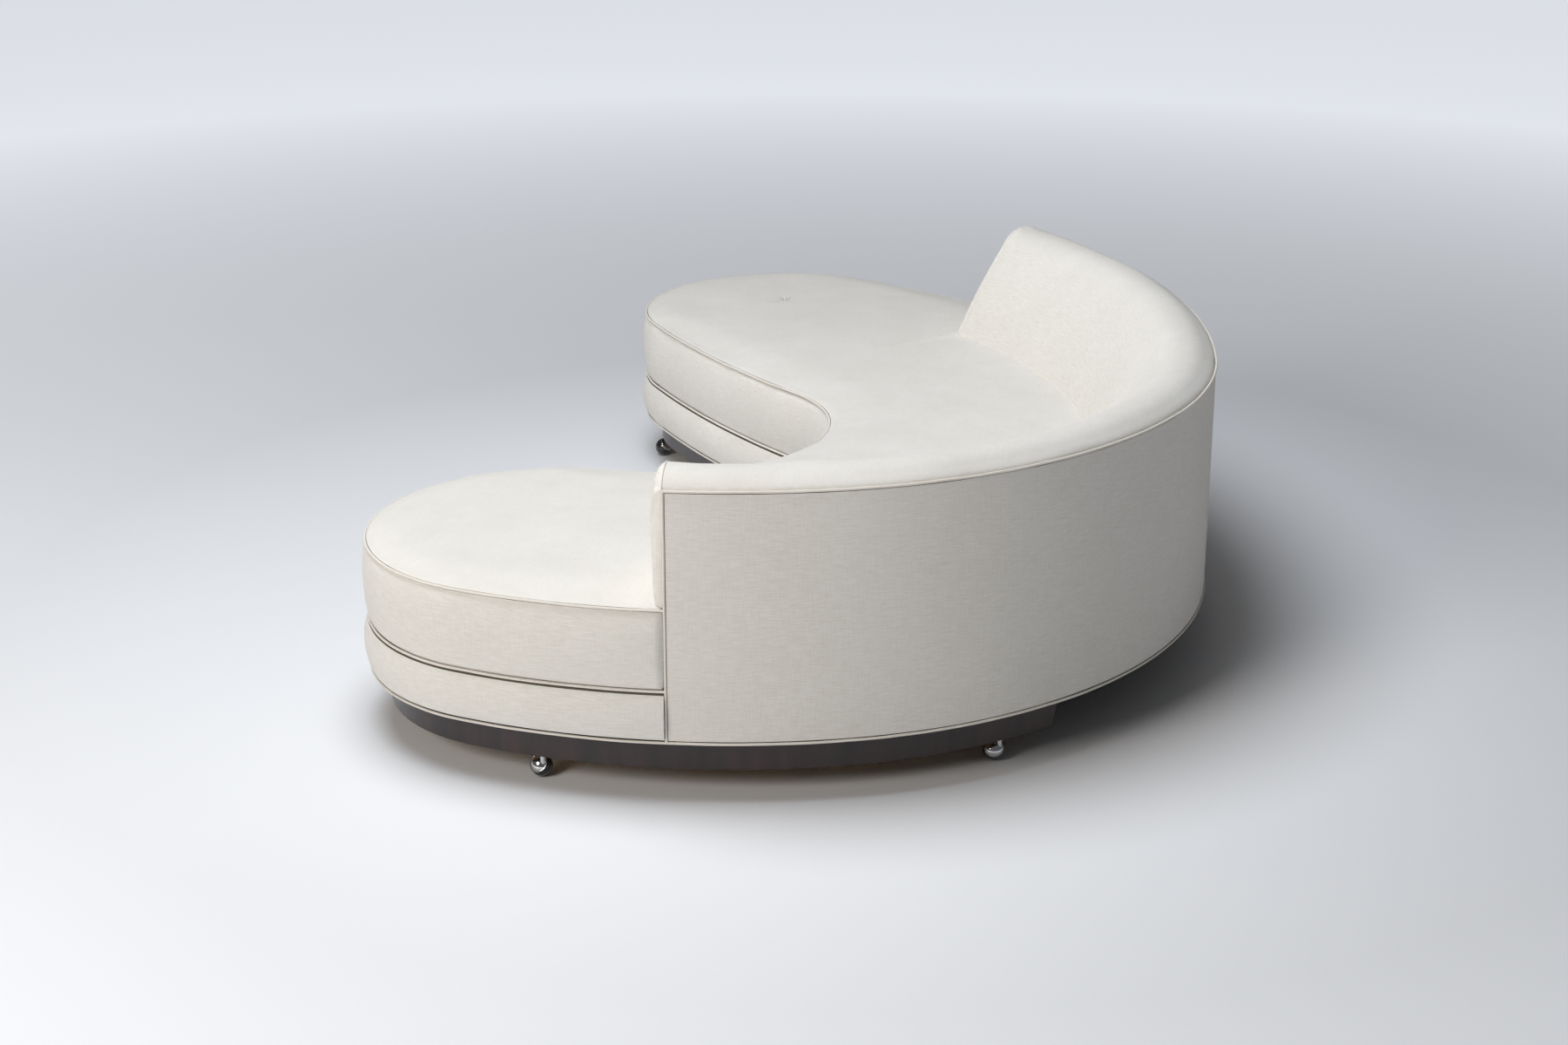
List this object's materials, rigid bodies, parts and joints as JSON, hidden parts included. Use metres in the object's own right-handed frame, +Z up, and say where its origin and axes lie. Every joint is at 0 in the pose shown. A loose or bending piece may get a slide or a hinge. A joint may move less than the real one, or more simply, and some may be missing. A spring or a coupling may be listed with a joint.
{
  "type": "curved sofa",
  "caption": "Curved kidney-shaped sofa with two round lobes, a low wrapped back and two veneered plinths on ball casters",
  "frame": {"origin": "On the floor, under the centre of the whole sofa", "axes": "+X towards the right-hand lobe as seen from the front, +Y towards the back, +Z up"},
  "size_m": [2.8603, 1.8404, 0.7462],
  "materials": {
    "fabric": "off-white woven upholstery with a fine slub",
    "welt": "the same cloth on the bias over cord",
    "foam": "upholstery foam, hidden",
    "plywood": "bent plywood, hidden",
    "timber": "sawn hardwood, hidden",
    "veneer": "dark reddish-brown veneer, satin lacquer, grain upright",
    "webbing": "elastic webbing, hidden",
    "lining": "black non-woven lining",
    "steel": "zinc-plated steel",
    "chrome": "bright chrome",
    "wheel_black": "glossy black"
  },
  "bodies": {
    "root": {"back_foam": "foam", "seat_foam": "foam", "back_inner_cover": "fabric", "back_outer_panel": "fabric", "near_end_pad": "fabric", "far_end_pad": "fabric", "seat_cover": "fabric", "deck_band": "fabric", "back_end_welts": "welt", "back_top_welt": "welt", "seat_top_welt": "welt", "seat_mid_welt": "welt", "bottom_welt": "welt", "back_board": "plywood", "back_top_rail": "plywood", "back_posts": "timber", "rim_rail": "plywood", "cross_rails": "timber", "webbing_straps": "webbing", "deck_cloth": "lining", "dust_cover": "lining", "near_plinth_skirt": "veneer", "far_plinth_skirt": "veneer", "near_plinth_board": "plywood", "far_plinth_board": "plywood", "near_plinth_blocks": "timber", "far_plinth_blocks": "timber", "plinth_bolts": "steel", "near_caster_sockets": "steel", "far_caster_sockets": "steel"},
    "swivel_near_side": {"caster_hood_near_side": "chrome", "caster_axle_near_side": "steel"},
    "wheel_near_side": {"caster_wheel_near_side": "wheel_black"},
    "swivel_near_rear": {"caster_hood_near_rear": "chrome", "caster_axle_near_rear": "steel"},
    "wheel_near_rear": {"caster_wheel_near_rear": "wheel_black"},
    "swivel_near_front": {"caster_hood_near_front": "chrome", "caster_axle_near_front": "steel"},
    "wheel_near_front": {"caster_wheel_near_front": "wheel_black"},
    "swivel_near_bay": {"caster_hood_near_bay": "chrome", "caster_axle_near_bay": "steel"},
    "wheel_near_bay": {"caster_wheel_near_bay": "wheel_black"},
    "swivel_far_side": {"caster_hood_far_side": "chrome", "caster_axle_far_side": "steel"},
    "wheel_far_side": {"caster_wheel_far_side": "wheel_black"},
    "swivel_far_rear": {"caster_hood_far_rear": "chrome", "caster_axle_far_rear": "steel"},
    "wheel_far_rear": {"caster_wheel_far_rear": "wheel_black"},
    "swivel_far_front": {"caster_hood_far_front": "chrome", "caster_axle_far_front": "steel"},
    "wheel_far_front": {"caster_wheel_far_front": "wheel_black"},
    "swivel_far_bay": {"caster_hood_far_bay": "chrome", "caster_axle_far_bay": "steel"},
    "wheel_far_bay": {"caster_wheel_far_bay": "wheel_black"}
  },
  "joints": [
    {"name": "caster_swivel_near_side", "type": "hinge", "parent": "root", "child": "swivel_near_side", "pos_m": [1.35621, -0.3744, 0.064], "axis": [0, 0, 1], "continuous": true},
    {"name": "caster_spin_near_side", "type": "hinge", "parent": "swivel_near_side", "child": "wheel_near_side", "pos_m": [1.343, -0.38272, 0.025], "axis": [0.7286, -0.2367, 0.6428], "continuous": true},
    {"name": "caster_swivel_near_rear", "type": "hinge", "parent": "root", "child": "swivel_near_rear", "pos_m": [0.99364, 0.57196, 0.064], "axis": [0, 0, 1], "continuous": true},
    {"name": "caster_spin_near_rear", "type": "hinge", "parent": "swivel_near_rear", "child": "wheel_near_rear", "pos_m": [0.98734, 0.55767, 0.025], "axis": [0.7364, 0.2112, 0.6428], "continuous": true},
    {"name": "caster_swivel_near_front", "type": "hinge", "parent": "root", "child": "swivel_near_front", "pos_m": [0.84314, -0.81996, 0.064], "axis": [0, 0, 1], "continuous": true},
    {"name": "caster_spin_near_front", "type": "hinge", "parent": "swivel_near_front", "child": "wheel_near_front", "pos_m": [0.83529, -0.80646, 0.025], "axis": [-0.262, -0.7198, 0.6428], "continuous": true},
    {"name": "caster_swivel_near_bay", "type": "hinge", "parent": "root", "child": "swivel_near_bay", "pos_m": [0.51462, -0.18535, 0.064], "axis": [0, 0, 1], "continuous": true},
    {"name": "caster_spin_near_bay", "type": "hinge", "parent": "swivel_near_bay", "child": "wheel_near_bay", "pos_m": [0.50923, -0.20001, 0.025], "axis": [-0.383, 0.6634, 0.6428], "continuous": true},
    {"name": "caster_swivel_far_side", "type": "hinge", "parent": "root", "child": "swivel_far_side", "pos_m": [-1.35721, -0.49176, 0.064], "axis": [0, 0, 1], "continuous": true},
    {"name": "caster_spin_far_side", "type": "hinge", "parent": "swivel_far_side", "child": "wheel_far_side", "pos_m": [-1.37283, -0.49181, 0.025], "axis": [0.4924, -0.5868, 0.6428], "continuous": true},
    {"name": "caster_swivel_far_rear", "type": "hinge", "parent": "root", "child": "swivel_far_rear", "pos_m": [-0.55495, 0.60763, 0.064], "axis": [0, 0, 1], "continuous": true},
    {"name": "caster_spin_far_rear", "type": "hinge", "parent": "swivel_far_rear", "child": "wheel_far_rear", "pos_m": [-0.5484, 0.59345, 0.025], "axis": [-0.7399, 0.1983, 0.6428], "continuous": true},
    {"name": "caster_swivel_far_front", "type": "hinge", "parent": "root", "child": "swivel_far_front", "pos_m": [-0.88012, -0.82582, 0.064], "axis": [0, 0, 1], "continuous": true},
    {"name": "caster_spin_far_front", "type": "hinge", "parent": "swivel_far_front", "child": "wheel_far_front", "pos_m": [-0.87111, -0.83859, 0.025], "axis": [0.1983, 0.7399, 0.6428], "continuous": true},
    {"name": "caster_swivel_far_bay", "type": "hinge", "parent": "root", "child": "swivel_far_bay", "pos_m": [-0.1451, -0.10435, 0.064], "axis": [0, 0, 1], "continuous": true},
    {"name": "caster_spin_far_bay", "type": "hinge", "parent": "swivel_far_bay", "child": "wheel_far_bay", "pos_m": [-0.15039, -0.11904, 0.025], "axis": [0.7198, 0.262, 0.6428], "continuous": true}
  ]
}
